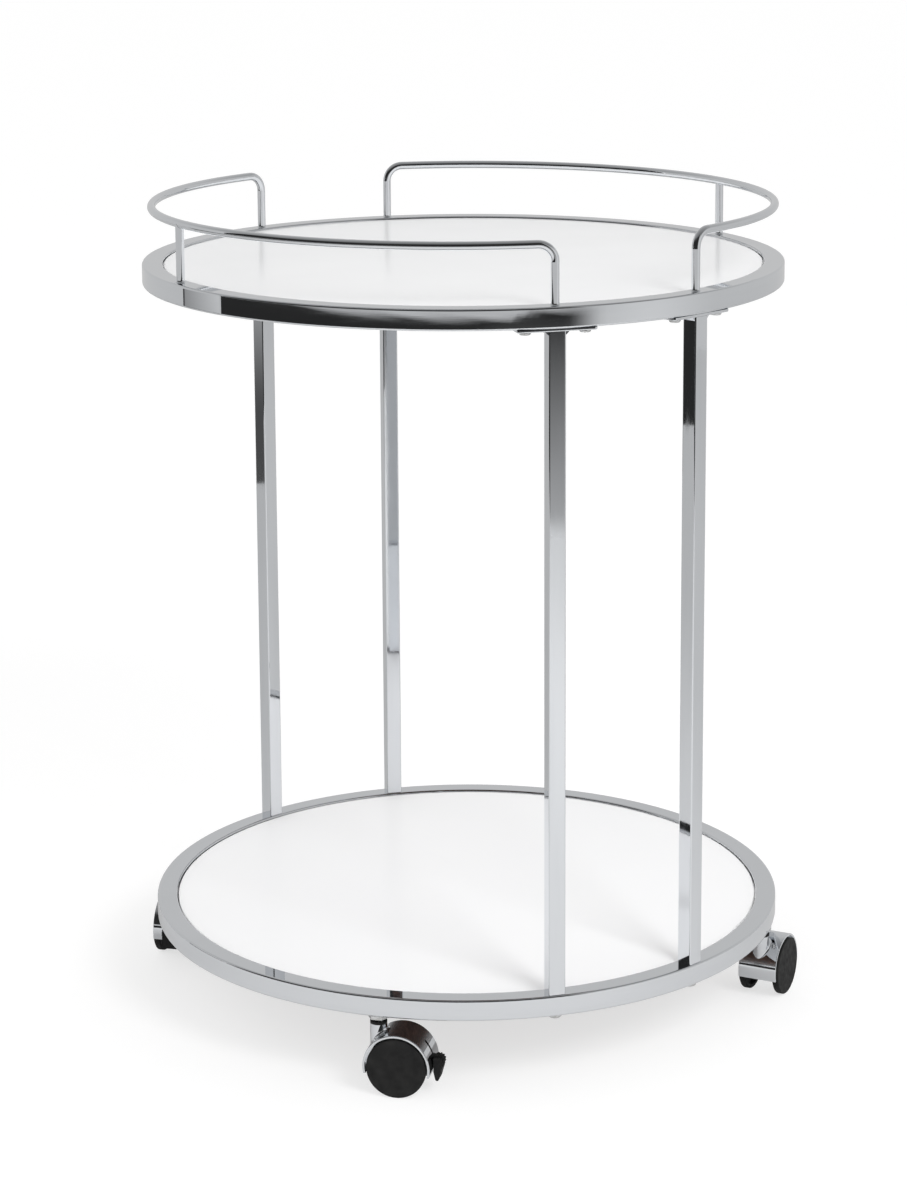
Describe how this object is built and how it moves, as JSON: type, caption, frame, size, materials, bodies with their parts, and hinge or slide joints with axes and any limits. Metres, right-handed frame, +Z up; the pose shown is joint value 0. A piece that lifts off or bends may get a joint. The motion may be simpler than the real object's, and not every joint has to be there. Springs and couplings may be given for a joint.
{
  "type": "rolling side table",
  "caption": "Round chrome side table on swivel castors, with white shelves inside tube rings, square posts and open wire rails round the top shelf.",
  "frame": {"origin": "on the floor, under the centre of the rings", "axes": "+Z up; -Y towards the front gap between the gallery rails; +X to the right"},
  "size_m": [0.47, 0.47, 0.597],
  "materials": {
    "chrome_tube": "polished plating",
    "castor_chrome": "polished plating on a casting",
    "white_board": "gloss white lacquer",
    "black_plastic": "fine satin",
    "steel": "bright zinc"
  },
  "bodies": {
    "frame": {"top_ring": "chrome_tube", "bottom_ring": "chrome_tube", "top_shelf_tabs": "chrome_tube", "bottom_shelf_tabs": "chrome_tube", "left_rail": "chrome_tube", "right_rail": "chrome_tube", "left_rail_support": "chrome_tube", "right_rail_support": "chrome_tube", "front_left_post": "chrome_tube", "front_left_head_plate": "chrome_tube", "front_right_post": "chrome_tube", "front_right_head_plate": "chrome_tube", "rear_right_post": "chrome_tube", "rear_right_head_plate": "chrome_tube", "rear_left_post": "chrome_tube", "rear_left_head_plate": "chrome_tube", "top_shelf_panel": "white_board", "bottom_shelf_panel": "white_board", "panel_screws": "steel", "plate_screws": "steel", "post_plugs": "steel", "post_bolts": "steel", "castor_nuts": "steel", "front_left_castor_stem": "steel", "front_right_castor_stem": "steel", "rear_right_castor_stem": "steel", "rear_left_castor_stem": "steel"},
    "front_left_castor_outer_wheel": {"front_left_castor_outer_wheel": "black_plastic"},
    "front_left_castor_inner_wheel": {"front_left_castor_inner_wheel": "black_plastic"},
    "front_left_castor_brake_lever": {"front_left_castor_brake_lever": "black_plastic"},
    "front_left_castor": {"front_left_castor_hood": "castor_chrome", "front_left_castor_axle": "steel", "front_left_castor_bush": "black_plastic", "front_left_castor_lever_pin": "steel"},
    "front_right_castor_outer_wheel": {"front_right_castor_outer_wheel": "black_plastic"},
    "front_right_castor_inner_wheel": {"front_right_castor_inner_wheel": "black_plastic"},
    "front_right_castor": {"front_right_castor_hood": "castor_chrome", "front_right_castor_axle": "steel", "front_right_castor_bush": "black_plastic"},
    "rear_right_castor_outer_wheel": {"rear_right_castor_outer_wheel": "black_plastic"},
    "rear_right_castor_inner_wheel": {"rear_right_castor_inner_wheel": "black_plastic"},
    "rear_right_castor": {"rear_right_castor_hood": "castor_chrome", "rear_right_castor_axle": "steel", "rear_right_castor_bush": "black_plastic"},
    "rear_left_castor_outer_wheel": {"rear_left_castor_outer_wheel": "black_plastic"},
    "rear_left_castor_inner_wheel": {"rear_left_castor_inner_wheel": "black_plastic"},
    "rear_left_castor_brake_lever": {"rear_left_castor_brake_lever": "black_plastic"},
    "rear_left_castor": {"rear_left_castor_hood": "castor_chrome", "rear_left_castor_axle": "steel", "rear_left_castor_bush": "black_plastic", "rear_left_castor_lever_pin": "steel"}
  },
  "joints": [
    {"name": "front_left_castor_swivel", "type": "hinge", "parent": "frame", "child": "front_left_castor", "pos_m": [-0.16226, -0.15946, 0.05], "axis": [0, 0, 1], "continuous": true},
    {"name": "front_left_castor_outer_wheel_spin", "type": "hinge", "parent": "front_left_castor", "child": "front_left_castor_outer_wheel", "pos_m": [-0.15084, -0.16993, 0.0212], "axis": [-0.6756, -0.7373, 0], "continuous": true},
    {"name": "front_left_castor_inner_wheel_spin", "type": "hinge", "parent": "front_left_castor", "child": "front_left_castor_inner_wheel", "pos_m": [-0.15084, -0.16993, 0.0212], "axis": [-0.6756, -0.7373, 0], "continuous": true},
    {"name": "front_left_castor_brake_lever_hinge", "type": "hinge", "parent": "front_left_castor", "child": "front_left_castor_brake_lever", "pos_m": [-0.13978, -0.18006, 0.0272], "axis": [-0.6756, -0.7373, 0], "range_deg": [0, 20]},
    {"name": "front_right_castor_swivel", "type": "hinge", "parent": "frame", "child": "front_right_castor", "pos_m": [0.16226, -0.15946, 0.05], "axis": [0, 0, 1], "continuous": true},
    {"name": "front_right_castor_outer_wheel_spin", "type": "hinge", "parent": "front_right_castor", "child": "front_right_castor_outer_wheel", "pos_m": [0.17511, -0.15079, 0.0212], "axis": [0.5592, -0.829, 0], "continuous": true},
    {"name": "front_right_castor_inner_wheel_spin", "type": "hinge", "parent": "front_right_castor", "child": "front_right_castor_inner_wheel", "pos_m": [0.17511, -0.15079, 0.0212], "axis": [0.5592, -0.829, 0], "continuous": true},
    {"name": "rear_right_castor_swivel", "type": "hinge", "parent": "frame", "child": "rear_right_castor", "pos_m": [0.16226, 0.15946, 0.05], "axis": [0, 0, 1], "continuous": true},
    {"name": "rear_right_castor_outer_wheel_spin", "type": "hinge", "parent": "rear_right_castor", "child": "rear_right_castor_outer_wheel", "pos_m": [0.15013, 0.16911, 0.0212], "axis": [0.6225, 0.7826, 0], "continuous": true},
    {"name": "rear_right_castor_inner_wheel_spin", "type": "hinge", "parent": "rear_right_castor", "child": "rear_right_castor_inner_wheel", "pos_m": [0.15013, 0.16911, 0.0212], "axis": [0.6225, 0.7826, 0], "continuous": true},
    {"name": "rear_left_castor_swivel", "type": "hinge", "parent": "frame", "child": "rear_left_castor", "pos_m": [-0.16226, 0.15946, 0.05], "axis": [0, 0, 1], "continuous": true},
    {"name": "rear_left_castor_outer_wheel_spin", "type": "hinge", "parent": "rear_left_castor", "child": "rear_left_castor_outer_wheel", "pos_m": [-0.17274, 0.14803, 0.0212], "axis": [-0.7373, 0.6756, 0], "continuous": true},
    {"name": "rear_left_castor_inner_wheel_spin", "type": "hinge", "parent": "rear_left_castor", "child": "rear_left_castor_inner_wheel", "pos_m": [-0.17274, 0.14803, 0.0212], "axis": [-0.7373, 0.6756, 0], "continuous": true},
    {"name": "rear_left_castor_brake_lever_hinge", "type": "hinge", "parent": "rear_left_castor", "child": "rear_left_castor_brake_lever", "pos_m": [-0.18287, 0.13697, 0.0272], "axis": [-0.7373, 0.6756, 0], "range_deg": [0, 20]}
  ]
}
